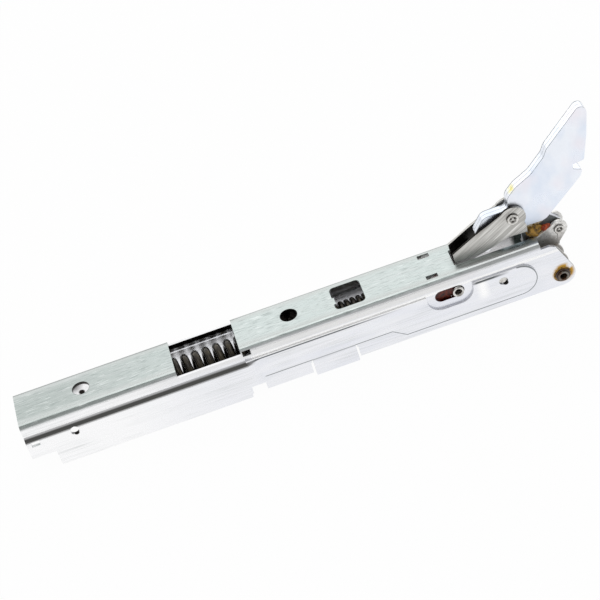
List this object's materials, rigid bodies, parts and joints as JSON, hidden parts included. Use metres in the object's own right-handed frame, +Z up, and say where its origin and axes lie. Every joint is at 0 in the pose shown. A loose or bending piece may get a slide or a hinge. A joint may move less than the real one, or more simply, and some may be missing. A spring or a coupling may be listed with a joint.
{
  "type": "oven door hinge",
  "caption": "Oven door hinge: pressed channel case with a spring inside, a hooked arm on a tubular pivot and a folding locking stirrup.",
  "frame": {"origin": "Middle of the bounding box in X and Y, on the plane of the walls' lower edges.", "axes": "+X along the case from its rear end to the pivot and the hooked arm, +Y across the case, +Z up through the web with the screw holes."},
  "size_m": [0.2458, 0.0252, 0.0765],
  "materials": {
    "zinc_sheet": "zinc plated pressed sheet with a lengthwise grain",
    "blue_zinc_plate": "blue passivated zinc plate",
    "stirrup_steel": "brushed bare steel",
    "rivet_steel": "upset and dished rivet steel",
    "spring_wire": "black oil tempered wire",
    "greased_steel": "turned steel under amber grease"
  },
  "bodies": {
    "case": {"case_channel": "zinc_sheet", "rear_stop": "zinc_sheet", "rear_spigot": "rivet_steel", "main_spring": "spring_wire", "pivot_tube": "rivet_steel", "pivot_bush_near": "greased_steel", "pivot_bush_far": "greased_steel", "pivot_spacer_near": "greased_steel", "pivot_spacer_far": "greased_steel"},
    "slider": {"spring_collar": "greased_steel", "push_rod": "greased_steel", "short_spring": "spring_wire", "spring_washer": "greased_steel", "rod_head": "greased_steel", "head_pins": "rivet_steel", "slider_plate": "greased_steel", "slider_pin": "rivet_steel", "slider_spacer_near": "greased_steel", "slider_spacer_far": "greased_steel"},
    "arm": {"carrier_near": "zinc_sheet", "carrier_far": "zinc_sheet", "arm_plate_near": "blue_zinc_plate", "arm_plate_far": "blue_zinc_plate", "heel_rivet": "rivet_steel", "heel_washer": "greased_steel", "tail_rivet": "rivet_steel", "tail_washer": "greased_steel", "crank_pin": "rivet_steel", "crank_roller": "rivet_steel", "stirrup_rivet": "rivet_steel"},
    "stirrup": {"stirrup": "stirrup_steel"}
  },
  "joints": [
    {"name": "arm_swing", "type": "hinge", "parent": "case", "child": "arm", "pos_m": [0.09945, 0, 0.0056], "axis": [0, 1, 0], "range_deg": [0, 70], "stiffness_Nm_per_rad": 0.6, "springref_deg": -28.65},
    {"name": "slider_slide", "type": "slide", "parent": "case", "child": "slider", "axis": [-1, 0, 0], "range_m": [0, 0.00528], "deforming": ["main_spring"]},
    {"name": "stirrup_swing", "type": "hinge", "parent": "arm", "child": "stirrup", "pos_m": [0.08592, 0, 0.03601], "axis": [0, 1, 0], "range_deg": [0, 140]}
  ],
  "couplings": [
    {"joint": "slider_slide", "follows": "arm_swing", "m_per_rad": 0.0043192}
  ]
}
